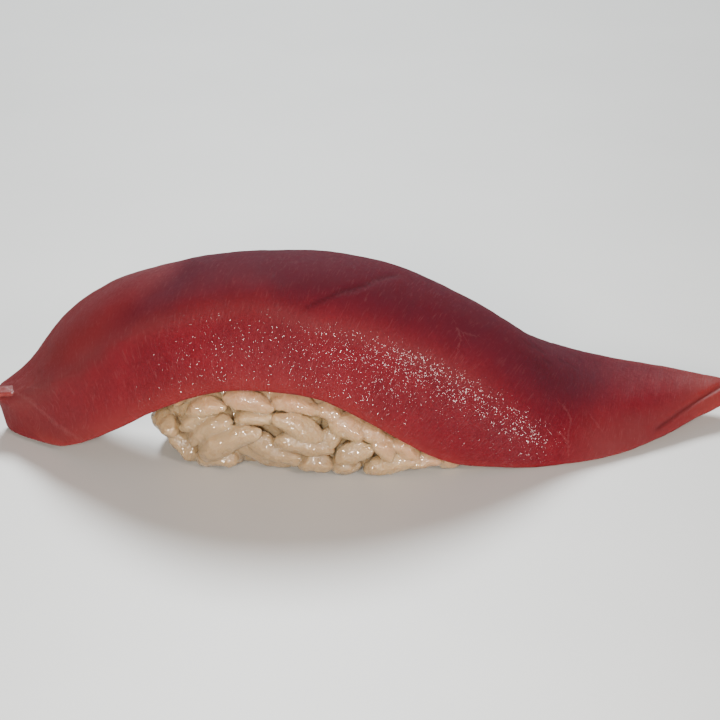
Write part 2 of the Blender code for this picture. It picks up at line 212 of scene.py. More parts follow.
# What is the same all over each surface, as the shader's own inputs, and the facets of its wet film.
RAW_TUNA = {
    "Subsurface Weight": 0.45, "Subsurface Radius": (1.0, 0.2, 0.18), "Subsurface Scale": 0.002,
    "IOR": 1.37, "Specular IOR Level": 0.1, "Coat Roughness": 0.03, "Coat IOR": 1.45,
}
TUNA_FACETS_A_METRE, TUNA_FACET_DOME = 8600.0, 0.02
COOKED_RICE = {
    "Subsurface Weight": 0.9, "Subsurface Radius": (1.0, 0.75, 0.5), "Subsurface Scale": 0.0016,
    "IOR": 1.4, "Coat Weight": 1.0, "Coat Roughness": 0.06,
}
RICE_FACETS_A_METRE, RICE_FACET_TILT, RICE_FACET_DOME = 4400.0, 0.85, 0.04
PALE_FLOOR = {"Roughness": 0.42}

# How strongly the pale lines show, and the share of light kept by the painted shade in the slice's creases,
# by the painted shade at the rice's foot and by the floor's darker clouds.
LINE_STRENGTH = 0.085
CREASE_PAINTED_SHADE = 0.35
RICE_FOOT_SHADE = 0.65
FLOOR_CLOUD_SHADE = 0.93

# The studio, in metres and watts. Each light is (name, place, size, power, colour), aimed at LIT_POINT.
FLOOR_RADIUS = 2.5
SURROUND_COLOUR = (0.92, 0.95, 1.0, 1.0)
SURROUND_STRENGTH = 0.22
LIT_POINT = (0.0, 0.0, 0.01)
LIGHTS = (
    ("back_light", (-0.05, 1.42, 1.12), 0.60, 47.0, (0.93, 0.98, 1.0)),
    ("front_light", (-0.072, -0.512, 0.188), 0.11, 4.5, (1.0, 0.90, 0.80)),
    ("side_light", (0.307, -0.393, 0.243), 0.12, 1.7, (1.0, 0.84, 0.78)),
)


def curve_value(pairs, at):
    """The value at a distance, on a smooth curve through the pairs, flat beyond both ends."""
    if at <= pairs[0][0]:
        return pairs[0][1]
    if at >= pairs[-1][0]:
        return pairs[-1][1]
    last = len(pairs) - 1
    i = max(k for k in range(last) if pairs[k][0] <= at)
    before, after = max(i - 1, 0), min(i + 2, last)
    (x0, y0), (x1, y1) = pairs[i], pairs[i + 1]
    span = x1 - x0
    slope0 = (y1 - pairs[before][1]) / (x1 - pairs[before][0])
    slope1 = (pairs[after][1] - y0) / (pairs[after][0] - x0)
    t = (at - x0) / span
    ease = t * t * (3 - 2 * t)
    return y0 + (y1 - y0) * ease + span * (slope0 * t * (1 - t) ** 2 - slope1 * t * t * (1 - t))


def slice_frame(along):
    """The middle of the slice's underside there, with its width and thickness directions."""
    step = 0.5
    middle = Vector((along, curve_value(ASIDE, along), curve_value(LIFT, along)))
    rise = curve_value(LIFT, along + step) - curve_value(LIFT, along - step)
    length_way = Vector((2 * step, 0, rise)).normalized()
    width_way = Matrix.Rotation(math.radians(curve_value(ROLL, along)), 3, length_way) @ Vector((0, 1, 0))
    return middle, width_way, length_way.cross(width_way)


def slice_point(along, across, up):
    """A point of the slice: across runs from -1 at the front edge to 1 at the back, up from 0 to 1."""
    middle, width_way, up_way = slice_frame(along)
    front, back = curve_value(FRONT_THICKNESS, along), curve_value(BACK_THICKNESS, along)
    thickness = front + (back - front) * (across + 1) / 2
    set_back = curve_value(FRONT_LEAN, along) * up * (1 - across) / 2
    sideways = across * curve_value(WIDTH, along) / 2 + set_back
    droop = curve_value(FRONT_DROOP if across < 0 else BACK_DROOP, along)
    height = up * thickness - droop * across ** 2
    return middle + width_way * sideways + up_way * height


def end_of_slice(across, up):
    """How far along the slice its left end lies there: on the knife's face, or on the corner behind it."""
    near, far = SLICE_LEFT - 8, SLICE_LEFT + 20
    for _ in range(24):
        middle = (near + far) / 2
        outside = END_FACE_NORMAL.dot(slice_point(middle, across, up) - END_FACE_POINT) > 0
        near, far = (middle, far) if outside else (near, middle)
    return max(near, SLICE_LEFT + curve_value(BACK_CORNER, across))


def section_outline(along):
    """The points round one section as (across, up), counter-clockwise seen from the right end."""
    half = curve_value(WIDTH, along) / 2
    thin = min(curve_value(FRONT_THICKNESS, along), curve_value(BACK_THICKNESS, along))
    edge = min(EDGE_ROUNDING, half * 0.4, thin * 0.4)
    ridge = min(curve_value(RIDGE_ROUNDING, along), half * 0.4, thin * 0.4)
    inset, ridge_inset = 1 - edge / half, 1 - ridge / half
    bottom = [(column * inset, 0.0) for column in TOP_COLUMNS]
    top = [(column * (inset if column > 0 else ridge_inset), 1.0) for column in reversed(TOP_COLUMNS)]
    back_side = [(1.0, edge / thin), (1.0, 1 - edge / thin)]
    front_side = [(-1.0, 1 - ridge / thin), (-1.0, edge / thin)]
    return bottom + back_side + top + front_side


def rested(point):
    """The point with its height eased so that nothing sinks into the floor."""
    eased = (point.z + math.hypot(point.z, FLOOR_SOFTNESS)) / 2
    return (Vector((point.x, point.y, eased)) + TO_MIDDLE) * MM


def slice_cage():
    """The rings that the slice is lofted through, each point with its place along, across and up."""
    rings = []
    for i in range(RINGS):
        along = SLICE_LEFT + (SLICE_RIGHT - SLICE_LEFT) * i / (RINGS - 1)
        fade = max(0.0, 1 - (along - SLICE_LEFT) / END_FADES_OVER)
        ring = []
        for across, up in section_outline(along):
            place = along + fade * (end_of_slice(across, up) - SLICE_LEFT)
            ring.append((rested(slice_point(place, across, up)), place, across, up))
        rings.append(ring)
    return rings


def loft(name, rings, crease=0.0):
    """A closed mesh through rings of equal length. Each end is capped by strips between the ring's two
    long sides, and the first ring's edges are creased."""
    mesh = bmesh.new()
    made = [[mesh.verts.new(point) for point in ring] for ring in rings]
    count = len(rings[0])
    for near, far in zip(made, made[1:]):
        for j in range(count):
            k = (j + 1) % count
            mesh.faces.new((near[j], far[j], far[k], near[k]))
    for ring in (made[0], made[-1]):
        for j in range(-1, count // 2 - 2):
            mesh.faces.new((ring[j], ring[j + 1], ring[count - 4 - j], ring[count - 3 - j]))
    layer = mesh.edges.layers.float.new("crease_edge")
    for j in range(count):
        mesh.edges.get((made[0][j - 1], made[0][j]))[layer] = crease
    bmesh.ops.recalc_face_normals(mesh, faces=mesh.faces)
    data = bpy.data.meshes.new(name)
    mesh.to_mesh(data)
    mesh.free()
    return data


def add_object(name, data):
    """A new object in the scene, with this data."""
    made = bpy.data.objects.new(name, data)
    bpy.context.scene.collection.objects.link(made)
    return made


def apply_modifiers(target):
    """Gives the object the mesh that its modifiers make, keeping the point attributes."""
    graph = bpy.context.evaluated_depsgraph_get()
    made = bpy.data.meshes.new_from_object(
        target.evaluated_get(graph), preserve_all_data_layers=True, depsgraph=graph)
    target.modifiers.clear()
    target.data = made


def smoothed(target):
    """Rounds the object with a subdivision surface, and gives back its new mesh."""
    smoothing = target.modifiers.new("Smoothing", "SUBSURF")
    smoothing.levels = SMOOTHING_LEVELS
    smoothing.render_levels = SMOOTHING_LEVELS
    apply_modifiers(target)
    return target.data


def dress(target, material):
    """Gives the object this material alone, over a smooth surface."""
    target.data.materials.clear()
    target.data.materials.append(material)
    target.data.shade_smooth()


def read_points(data):
    """The mesh's points, in millimetres."""
    points = np.empty(len(data.vertices) * 3)
    data.vertices.foreach_get("co", points)
    return points.reshape(-1, 3) / MM


def read_normals(data):
    """The normal at each point of the mesh."""
    normals = np.empty(len(data.vertices) * 3)
    data.vertex_normals.foreach_get("vector", normals)
    return normals.reshape(-1, 3)


def write_points(data, points):
    """Moves the mesh's points to these places, in millimetres."""
    data.vertices.foreach_set("co", (points * MM).ravel())
    data.update()


def read_attribute(data, name):
    """The value of a point attribute at each point."""
    values = np.empty(len(data.vertices))
    data.attributes[name].data.foreach_get("value", values)
    return values


def write_attribute(data, name, values):
    """Keeps a value for each point, for the material to read."""
    layer = data.attributes.get(name) or data.attributes.new(name, "FLOAT", "POINT")
    layer.data.foreach_set("value", np.asarray(values, dtype=np.float32))


def ripples(points, size, seed):
    """Smooth noise between -1 and 1 at each point, with features about this many millimetres long."""
    shift = Vector((seed * 7.31, seed * 3.17, seed * 5.73))
    return np.array([noise.noise(Vector(point / size) + shift) for point in points])


def seen_at(points):
    """Where each point, in millimetres, is seen in the photograph's frame, in pixels."""
    back = np.array((0, -math.cos(VIEW_HEIGHT), math.sin(VIEW_HEIGHT)))
    up = np.array((0, math.sin(VIEW_HEIGHT), math.cos(VIEW_HEIGHT)))
    offset = points - np.array(VIEW_TARGET)
    scale = PHOTO_SIZE * VIEW_LENS / SENSOR / (VIEW_DISTANCE - offset @ back)
    return np.column_stack((PHOTO_SIZE / 2 + offset[:, 0] * scale, PHOTO_SIZE / 2 - offset @ up * scale))


def smooth_step(low, high, values):
    """A smooth rise from 0 at the low value to 1 at the high one."""
    share = np.clip((values - low) / (high - low), 0.0, 1.0)
    return share * share * (3 - 2 * share)


def bell(values, reach):
    """1 where the value is 0, falling away on both sides over the reach."""
    return np.exp(-(values / reach) ** 2)


def stroke(places, line):
    """The signed distance of each seen place from a broken line, in millimetres, and its share of the
    length. The distance is positive on the line's left as it is seen."""
    best = np.full(len(places), 1e9)
    share = np.zeros(len(places))
    corners = np.array(line, dtype=float)
    lengths = np.linalg.norm(np.diff(corners, axis=0), axis=1)
    covered = 0.0
    for start, end, length in zip(corners, corners[1:], lengths):
        way = (end - start) / length
        ahead = np.clip((places - start) @ way, 0.0, length)
        apart = places - (start + ahead[:, None] * way)
        side = np.where(way[1] * apart[:, 0] - way[0] * apart[:, 1] >= 0, 1.0, -1.0)
        distance = np.hypot(apart[:, 0], apart[:, 1])
        closer = distance < np.abs(best)
        best[closer] = (side * distance)[closer]
        share[closer] = ((covered + ahead) / lengths.sum())[closer]
        covered += length
    return best / PIXELS_A_MM, share


def fading_ends(share, fade=0.15):
    """1 along a line, falling to 0 at both of its ends."""
    return smooth_step(0.0, fade, share) * (1 - smooth_step(1 - fade, 1.0, share))


def add_node(tree, kind, inputs=None, **settings):
    """A shader node with its settings, and its inputs set to a value or linked from another socket."""
    made = tree.nodes.new(kind)
    for name, value in settings.items():
        setattr(made, name, value)
    for name, value in (inputs or {}).items():
        if isinstance(value, bpy.types.NodeSocket):
            tree.links.new(value, made.inputs[name])
        else:
            made.inputs[name].default_value = value
    return made


def mixed(tree, share, first, second):
    """The colour between two colours."""
    inputs = {"Factor": share, 6: first, 7: second}
    return add_node(tree, "ShaderNodeMix", inputs, data_type="RGBA", clamp_factor=True).outputs[2]


def shaded(colour, share):
    """The colour with only this share of its light."""
    return tuple(share * part for part in colour[:3]) + (1.0,)


def ranged(tree, value, low, high, to_low=0.0, to_high=1.0):
    """The value moved from one range to another, clamped."""
    inputs = {"Value": value, "From Min": low, "From Max": high, "To Min": to_low, "To Max": to_high}
    return add_node(tree, "ShaderNodeMapRange", inputs, clamp=True).outputs["Result"]


def maths(tree, operation, first, second=0.5):
    """The result of one sum on one or two values."""
    return add_node(tree, "ShaderNodeMath", {0: first, 1: second}, operation=operation).outputs[0]


def vector_maths(tree, operation, first, second, output="Vector"):
    """The result of one sum on two vectors."""
    made = add_node(tree, "ShaderNodeVectorMath", {0: first, 1: second}, operation=operation)
    return made.outputs[output]


def noise_of(tree, vector, scale, detail, roughness):
    """Soft noise between 0 and 1, with this many features a unit."""
    inputs = {"Vector": vector, "Scale": scale, "Detail": detail, "Roughness": roughness}
    return add_node(tree, "ShaderNodeTexNoise", inputs).outputs["Fac"]


def attribute_of(tree, name):
    """The value that write_attribute kept under this name."""
    return add_node(tree, "ShaderNodeAttribute", attribute_name=name).outputs["Fac"]


def bumped(tree, height, strength, distance, inputs=None):
    """The normal of a surface with this relief, laid over another normal if one is given."""
    relief = {"Height": height, "Strength": strength, "Distance": distance, **(inputs or {})}
    return add_node(tree, "ShaderNodeBump", relief).outputs["Normal"]


def wet_facets(tree, place, scale, tilt, dome):
    """The normal of a wet surface broken into small, slightly domed facets, each tilted its own way."""
    cells = add_node(tree, "ShaderNodeTexVoronoi", {"Vector": place, "Scale": scale})
    offset = vector_maths(tree, "SUBTRACT", place, cells.outputs["Position"])
    own_way = vector_maths(tree, "SUBTRACT", cells.outputs["Color"], (0.5, 0.5, 0.5))
    lean = vector_maths(tree, "DOT_PRODUCT", offset, own_way, "Value")
    rise = maths(tree, "MULTIPLY", maths(tree, "POWER", cells.outputs["Distance"], 2.0), -dome / scale)
    height = maths(tree, "ADD", maths(tree, "MULTIPLY", lean, tilt), rise)
    return bumped(tree, height, 1.0, 1.0)


def new_material(name, surface):
    """An empty material with a Principled shader on its output, whose inputs have the surface's values."""
    material = bpy.data.materials.new(name)
    material.use_nodes = True
    tree = material.node_tree
    tree.nodes.clear()
    shader = add_node(tree, "ShaderNodeBsdfPrincipled", surface)
    add_node(tree, "ShaderNodeOutputMaterial", {"Surface": shader.outputs["BSDF"]})
    return material, tree, shader


COLOUR = {"subtype": "COLOR", "size": 4, "min": 0.0, "max": 1.0}
LENGTH = {"subtype": "DISTANCE", "unit": "LENGTH"}


class SliceLook(bpy.types.PropertyGroup):
    """The slice's colours and the depths of its relief"""

    flesh: bpy.props.FloatVectorProperty(
        name="Flesh", description="Colour of the cut front of the slice",
        default=(0.150, 0.0085, 0.0150, 1.0), **COLOUR)
    deep_flesh: bpy.props.FloatVectorProperty(
        name="Deep flesh", description="Colour of the darker patches of the flesh",
        default=(0.105, 0.0050, 0.0105, 1.0), **COLOUR)
    # Painted shade and sheen: the top is darker and cooler than the front because of how the light falls on
    # it.
    top_shade_and_sheen: bpy.props.FloatVectorProperty(
        name="Top", description="Darker, cooler colour of the slice's top",
        default=(0.072, 0.0100, 0.0180, 1.0), **COLOUR)
    # Painted glow: light coming through the thin edges, painted into their colour.
    edge_glow_flesh: bpy.props.FloatVectorProperty(
        name="Thin edges", description="Colour where light comes through the thin edges",
        default=(0.22, 0.036, 0.032, 1.0), **COLOUR)
    # Partly milky flesh and partly painted light: it brightens the thick end and pad, which face away from
    # the light, paints a highlight along the ridge and pales the tail's front.
    milky_and_lit_flesh: bpy.props.FloatVectorProperty(
        name="Milky flesh", description="Paler colour at the thick end and along the tail's front",
        default=(0.150, 0.034, 0.036, 1.0), **COLOUR)
    sinew: bpy.props.FloatVectorProperty(
        name="Sinew", description="Colour of the pale sinew lines and the tag",
        default=(0.36, 0.15, 0.15, 1.0), **COLOUR)
    wave_height: bpy.props.FloatProperty(
        name="Wave height", description="Height of the soft unevenness of the flesh",
        default=0.00012, min=0.0, max=0.001, **LENGTH)
    crease_depth: bpy.props.FloatProperty(
        name="Crease depth", description="Depth of the crease across the top",
        default=0.0002, min=0.0, max=0.001, **LENGTH)
    slit_depth: bpy.props.FloatProperty(
        name="Slit depth", description="Depth of the slit along the front of the tail",
        default=0.00025, min=0.0, max=0.001, **LENGTH)


class RiceLook(bpy.types.PropertyGroup):
    """The size and colours of the rice grains"""

    grain_length: bpy.props.FloatProperty(
        name="Grain length", description="Length of a cooked grain before it varies",
        default=0.0056, min=0.004, max=0.01, **LENGTH)
    grain_width: bpy.props.FloatProperty(
        name="Grain width", description="Width of a cooked grain before it varies",
        default=0.0024, min=0.002, max=0.004, **LENGTH)
    grain_thickness: bpy.props.FloatProperty(
        name="Grain thickness", description="Thickness of a cooked grain before it varies",
        default=0.0022, min=0.0015, max=0.004, **LENGTH)
    starch: bpy.props.FloatVectorProperty(
        name="Starch", description="Colour of the cooked grains",
        default=(0.43, 0.30, 0.162, 1.0), **COLOUR)
    # Painted reflection: red light from the slice, painted on the grains right under it.
    slice_glow: bpy.props.FloatVectorProperty(
        name="Blush", description="Colour of the grains right under the slice",
        default=(0.46, 0.22, 0.13, 1.0), **COLOUR)
    shaded_starch: bpy.props.FloatVectorProperty(
        name="Shaded starch", description="Warmer colour of the grains' darker patches",
        default=(0.38, 0.265, 0.145, 1.0), **COLOUR)


class StudioLook(bpy.types.PropertyGroup):
    """The floor's colour and the camera's place"""

    floor: bpy.props.FloatVectorProperty(
        name="Floor", description="Colour of the floor",
        default=(0.60, 0.60, 0.575, 1.0), **COLOUR)
    camera_height: bpy.props.FloatProperty(
        name="Camera elevation", description="How steeply the camera looks down", subtype="ANGLE",
        unit="ROTATION", default=VIEW_HEIGHT, min=0.0, max=math.pi / 2)
    camera_distance: bpy.props.FloatProperty(
        name="Camera distance", description="Distance from the camera to the piece",
        default=VIEW_DISTANCE * MM, min=0.1, max=2.0, **LENGTH)
    lens: bpy.props.FloatProperty(
        name="Lens", description="Focal length of the camera", subtype="DISTANCE_CAMERA", unit="CAMERA",
        default=VIEW_LENS, min=20.0, max=300.0)


def tuna_material(look):
    """Wet raw tuna: see-through red flesh with fibres, mottling, sinew and a fine wet grain, with painted
    shade and sheen on its top, a painted glow at its thin edges, painted light at its thick end, a painted
    highlight along its ridge and painted shade in its creases.
    """
    material, tree, shader = new_material("raw_tuna", RAW_TUNA)
    place = add_node(tree, "ShaderNodeTexCoord").outputs["Object"]
    round_way = attribute_of(tree, "round_mm")
    along_way = attribute_of(tree, "along_mm")
    top = attribute_of(tree, "top")
    thin = attribute_of(tree, "thin")
    wet = attribute_of(tree, "wet")
    mottle = noise_of(tree, place, 210.0, 4.0, 0.6)
    grain = noise_of(tree, place, 3000.0, 2.0, 0.6)
    patches = noise_of(tree, place, 90.0, 2.0, 0.5)

    slanted = maths(tree, "ADD", along_way, maths(tree, "MULTIPLY", round_way, -STRAND_SLANT))
    strand_space = add_node(
        tree, "ShaderNodeCombineXYZ",
        {"X": maths(tree, "MULTIPLY", slanted, 5.5), "Y": maths(tree, "MULTIPLY", round_way, 0.7)},
    ).outputs["Vector"]
    strands = noise_of(tree, strand_space, 1.0, 4.0, 0.62)
    bands = noise_of(tree, strand_space, 0.17, 3.0, 0.5)

    speckle = maths(tree, "ADD", maths(tree, "MULTIPLY", mottle, 0.6), maths(tree, "MULTIPLY", grain, 0.4))
    flesh = mixed(tree, ranged(tree, speckle, 0.36, 0.64), look.flesh, look.deep_flesh)
    unevenness = maths(
        tree, "ADD", maths(tree, "MULTIPLY", bands, 0.25), maths(tree, "MULTIPLY", patches, 0.8))
    # Painted shade and sheen over the top, where the "top" mask is high.
    ragged_top_shade = ranged(tree, maths(tree, "ADD", top, unevenness), 0.5, 1.55)
    top_shaded = mixed(tree, ragged_top_shade, flesh, look.top_shade_and_sheen)
    # Painted glow of light coming through the thin edges, where the "thin" mask is high.
    ragged_edge_glow = maths(tree, "MULTIPLY", thin, ranged(tree, patches, 0.3, 0.6, 0.6, 1.0))
    # Painted light on the thick end and a painted highlight along the ridge, with a paler tail front.
    milky_and_lit = maths(tree, "MULTIPLY", attribute_of(tree, "milky_and_lit"), ranged(tree, mottle, 0.3, 0.65, 0.6, 1.0))
    paled_and_lit = mixed(tree, milky_and_lit, top_shaded, look.milky_and_lit_flesh)
    glow_edged = mixed(tree, ragged_edge_glow, paled_and_lit, look.edge_glow_flesh)
    faint = maths(
        tree, "MULTIPLY", ranged(tree, strands, 0.55, 0.8), ranged(tree, top, 0.0, 0.6, 0.18, 0.12))
    stranded = mixed(tree, faint, glow_edged, look.sinew)
    lines = []
    for name, width in (("sinew_mm", 0.14), ("pad_edge_mm", 0.3)):
        wobbly = maths(tree, "ADD", maths(tree, "ABSOLUTE", attribute_of(tree, name)),
                       ranged(tree, grain, 0.2, 0.8, -0.14, 0.18))
        lines.append(ranged(tree, wobbly, 0.02, 0.02 + width, LINE_STRENGTH, 0.0))
    pale = maths(tree, "MAXIMUM", lines[0], lines[1])
    colour = mixed(tree, pale, stranded, look.sinew)
    # Painted shade in the crease, the slit and the wrinkles.
    cuts = maths(tree, "MAXIMUM", attribute_of(tree, "groove"), attribute_of(tree, "wrinkle"))
    colour = mixed(tree, cuts, colour, shaded(look.top_shade_and_sheen, CREASE_PAINTED_SHADE))
    tree.links.new(colour, shader.inputs["Base Color"])

    rough = maths(tree, "ADD", ranged(tree, grain, 0.3, 0.7, 0.48, 0.62), maths(tree, "MULTIPLY", top, 0.3))
    tree.links.new(rough, shader.inputs["Roughness"])
    tree.links.new(wet, shader.inputs["Coat Weight"])
    tilt = ranged(tree, wet, 0.16, 0.5, 0.6, 0.34)
    facets = wet_facets(tree, place, TUNA_FACETS_A_METRE, tilt, TUNA_FACET_DOME)
    tree.links.new(facets, shader.inputs["Coat Normal"])
    tree.links.new(bumped(tree, strands, 0.3, 0.0001), shader.inputs["Normal"])
    return material


def rice_material(look):
    """Moist cooked rice: soft see-through starch under a wet film, with a painted red glow from the slice
    on the grains under it and painted shade towards its foot.
    """
    material, tree, shader = new_material("cooked_rice_grain", COOKED_RICE)
    place = add_node(tree, "ShaderNodeTexCoord").outputs["Object"]
    cloud = noise_of(tree, place, 700.0, 3.0, 0.55)
    grain = noise_of(tree, place, 2100.0, 2.0, 0.5)
    tone = attribute_of(tree, "tone")
    warm = maths(tree, "ADD", maths(tree, "MULTIPLY", ranged(tree, cloud, 0.3, 0.7), 0.5),
                 ranged(tree, tone, 0.0, 1.0, 0.0, 0.5))
    colour = mixed(tree, warm, look.starch, look.shaded_starch)
    room = attribute_of(tree, "room_mm")
    # Painted red glow from the slice, strongest on the grains nearest its underside.
    colour = mixed(tree, ranged(tree, room, 0.3, 3.4, 0.6, 0.0), colour, look.slice_glow)
    # Painted shade on the grains far under the slice, towards the foot.
    painted_foot_shade = shaded(look.shaded_starch, RICE_FOOT_SHADE)
    colour = mixed(tree, ranged(tree, room, 3.5, 7.0, 0.0, 0.6), colour, painted_foot_shade)
    tree.links.new(colour, shader.inputs["Base Color"])
    tree.links.new(ranged(tree, cloud, 0.3, 0.7, 0.30, 0.5), shader.inputs["Roughness"])
    uneven = bumped(tree, cloud, 0.7, 0.0004)
    tree.links.new(bumped(tree, grain, 0.7, 0.00012, {"Normal": uneven}), shader.inputs["Normal"])
    facets = wet_facets(tree, place, RICE_FACETS_A_METRE, RICE_FACET_TILT, RICE_FACET_DOME)
    tree.links.new(facets, shader.inputs["Coat Normal"])
    return material


def floor_material(look):
    """A plain pale surface, half matt."""
    material, tree, shader = new_material("pale_floor", PALE_FLOOR)
    place = add_node(tree, "ShaderNodeTexCoord").outputs["Object"]
    cloud = noise_of(tree, place, 30.0, 3.0, 0.5)
    darker = shaded(look.floor, FLOOR_CLOUD_SHADE)
    colour = mixed(tree, ranged(tree, cloud, 0.3, 0.7), look.floor, darker)
    tree.links.new(colour, shader.inputs["Base Color"])
    return material


def slice_places(data):
    """Every point's place along the slice and round it from its front lower edge, in millimetres."""
    along = read_attribute(data, "along_mm")
    across = read_attribute(data, "across")
    up = read_attribute(data, "up")
    steps = np.linspace(SLICE_LEFT, SLICE_RIGHT, 160)
    front = np.interp(along, steps, [curve_value(FRONT_THICKNESS, step) for step in steps])
    width = np.interp(along, steps, [curve_value(WIDTH, step) for step in steps])
    return along, across, up, up * front + (across + 1) / 2 * width


def fit_end_face(points):
    """The points with the knife's face at the left end pressed flat, a little turned to the front."""
    middle = np.array(TO_MIDDLE + PAD_POINT)
    normal = np.array(PAD_NORMAL)
    beyond = (points - middle) @ normal
    pressed = (beyond + np.hypot(beyond, PAD_SOFTNESS)) / 2
    near_end = 1 - smooth_step(*PAD_REACH, points[:, 0])
    return points - (pressed * near_end)[:, None] * normal


def slice_marks(points, across, up):
    """The marks read from the photograph, as distances and shares on the slice's points."""
    seen = seen_at(points)
    facing = smooth_step(-0.98, -0.9, -across) * smooth_step(0.02, 0.1, up)
    pad, _ = stroke(seen, PAD_EDGE_PIXELS)
    crease, crease_share = stroke(seen, CREASE_PIXELS)
    slit, slit_share = stroke(seen, SLIT_PIXELS)
    flange, flange_share = stroke(seen, FLANGE_PIXELS)
    ridge, _ = stroke(seen, RIDGE_PIXELS)
    at_left = 1 - smooth_step(*FLANGE_REACH, points[:, 0])
    at_back = smooth_step(0.5, 0.9, up)
    sinew = np.full(len(points), FAR_OFF)
    for line in SINEW_PIXELS:
        distance, _ = stroke(seen, line)
        sinew = np.where(np.abs(distance) < np.abs(sinew), distance, sinew)
    run = np.array(WRINKLES_TO, dtype=float) - np.array(WRINKLES_FROM)
    run /= np.linalg.norm(run)
    offset = (seen - np.array(WRINKLES_FROM)) / PIXELS_A_MM
    ahead, aside = offset @ run, offset @ np.array((-run[1], run[0]))
    lines = ripples(np.column_stack((ahead * 0.22, aside, ahead * 0)), 0.42, 11)
    area = smooth_step(-1.5, 0.5, ahead) * (1 - smooth_step(5.5, 8.0, ahead)) * bell(aside, 2.0)
    return {
        "pad_edge_mm": np.where(facing > 0.5, pad, FAR_OFF),
        "on_pad": smooth_step(0.0, 0.25, -pad) * (1 - smooth_step(*PAD_COLOUR_REACH, points[:, 0])),
        "flange": smooth_step(-0.5, 1.8, -flange) * at_left * at_back,
        "trough": bell(flange, 1.4) * fading_ends(flange_share) * at_back,
        "ridge": ridge,
        "crease": crease,
        "crease_share": fading_ends(crease_share),
        "slit": slit,
        "slit_share": smooth_step(0.0, 0.15, slit_share),
        "sinew_mm": np.where(facing > 0.5, sinew, FAR_OFF),
        "wrinkle": smooth_step(0.12, 0.4, lines) * area * facing,
    }


def slice_relief(points, along, round_way, up, marks, look):
    """How far each point of the slice stands out from its smooth form."""
    calm = 1 - 0.8 * marks["on_pad"]
    waves = ripples(points, 5.5, 1) * look.wave_height / MM
    waves += ripples(points, 1.9, 2) * look.wave_height * 0.4 / MM
    strand_places = np.column_stack((along - STRAND_SLANT * round_way, round_way * 0.16, up * 0))
    strands = ripples(strand_places, 0.6, 3) * 0.025
    on_top = smooth_step(0.3, 0.7, up) * marks["crease_share"]
    crease = marks["crease"]
    groove = -bell(crease, 0.35) * look.crease_depth / MM
    lip = np.where(crease > 0, bell(crease, 2.2), 0.0) * 0.7 * look.crease_depth / MM
    slit = -bell(marks["slit"], 0.28) * marks["slit_share"] * look.slit_depth / MM
    trough = -0.35 * marks["trough"]
    return (waves + strands) * calm + (groove + lip) * on_top + slit + trough - marks["wrinkle"] * 0.06


def slice_finish(marks, along, across, up):
    """How strongly each look shows at each point of the slice, under the names its material reads."""
    off_pad = 1 - marks["on_pad"]
    from_ridge = marks["ridge"]
    # The "top" mask, behind the ridge, where painted shade and sheen go. The material also makes the
    # surface rougher there.
    over = smooth_step(-1.6, 4.4, from_ridge)
    over = np.maximum(over, smooth_step(0.1, 0.6, across)) * smooth_step(0.3, 0.7, up)
    tail_fade = 1 - 0.8 * smooth_step(*TOP_FADES, along)
    # The "thin" mask: a painted glow of light through the lower and back edges, the flange and the tail's
    # tip.
    low_edge = bell(up, 0.30) * (across < -0.6)
    back_edge = bell(across - 1, 0.30) * smooth_step(*TAIL, along)
    thin = 0.5 * low_edge + 0.6 * back_edge + 0.22 * marks["flange"] + smooth_step(*TAIL_TIP, along) * 0.8
    # Painted light on the thick end and pad, a painted highlight along the ridge, and a paler front along
    # the tail.
    lit_left_end = 0.4 * (1 - smooth_step(*LEFT_END, along)) + 0.15 * marks["on_pad"]
    ridge_highlight = 0.4 * bell(from_ridge + 0.3, 1.3) * (1 - smooth_step(*RIDGE_HIGHLIGHT_ENDS, along))
    tail_front = smooth_step(*TAIL_FRONT, along) * (1 - smooth_step(-0.95, -0.35, across))
    reach = 4.0 - 1.4 * smooth_step(*FILM_NARROWS, along)
    dense = bell(from_ridge + 2.0, reach) * smooth_step(*FILM_GATHERS, along)
    wet = (0.24 + 0.76 * dense) * (1 - smooth_step(-0.6, 0.6, from_ridge)) * off_pad
    # Painted shade in the crease across the top and the slit along the tail's front, kept as "groove", and
    # in the wrinkles.
    groove = bell(marks["crease"], 0.22) * marks["crease_share"] * smooth_step(0.5, 0.8, up) * 0.45
    slit = bell(marks["slit"], 0.16) * marks["slit_share"] * 0.35
    return {
        "top": over * off_pad * (1 - 0.6 * marks["flange"]) * tail_fade,
        "milky_and_lit": np.clip(lit_left_end + ridge_highlight + 0.75 * tail_front, 0, 1),
        "thin": np.clip(thin, 0, 1),
        "wet": 0.62 * wet * (1 - smooth_step(*FILM_ENDS, along)) + 0.004,
        "sinew_mm": marks["sinew_mm"],
        "pad_edge_mm": marks["pad_edge_mm"],
        "wrinkle": marks["wrinkle"] * 0.25,
        "groove": np.maximum(groove, slit),
    }


class NIGIRI_OT_slice(bpy.types.Operator):
    """Builds the slice of raw tuna with its relief and finish"""

    bl_idname = "nigiri.slice"
    bl_label = "Tuna slice"

    def execute(self, context):
        look = context.scene.nigiri_slice
        cage = slice_cage()
        data = loft("tuna_slice_flesh", [[entry[0] for entry in ring] for ring in cage], END_EDGE_CREASE)
        places = [entry for ring in cage for entry in ring]
        for k, name in enumerate(("along_mm", "across", "up")):
            write_attribute(data, name, [place[k + 1] for place in places])
        flesh = add_object("tuna_slice_flesh", data)
        data = smoothed(flesh)
        points = fit_end_face(read_points(data))
        write_points(data, points)
        normals = read_normals(data)
        along, across, up, round_way = slice_places(data)
        marks = slice_marks(points, across, up)
        relief = slice_relief(points, along, round_way, up, marks, look)
        write_points(data, points + normals * relief[:, None])
        write_attribute(data, "round_mm", round_way)
        for name, values in slice_finish(marks, along, across, up).items():
            write_attribute(data, name, values)
        dress(flesh, tuna_material(look))
        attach(flesh, "root")
        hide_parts("tuna_slice")
        return {"FINISHED"}


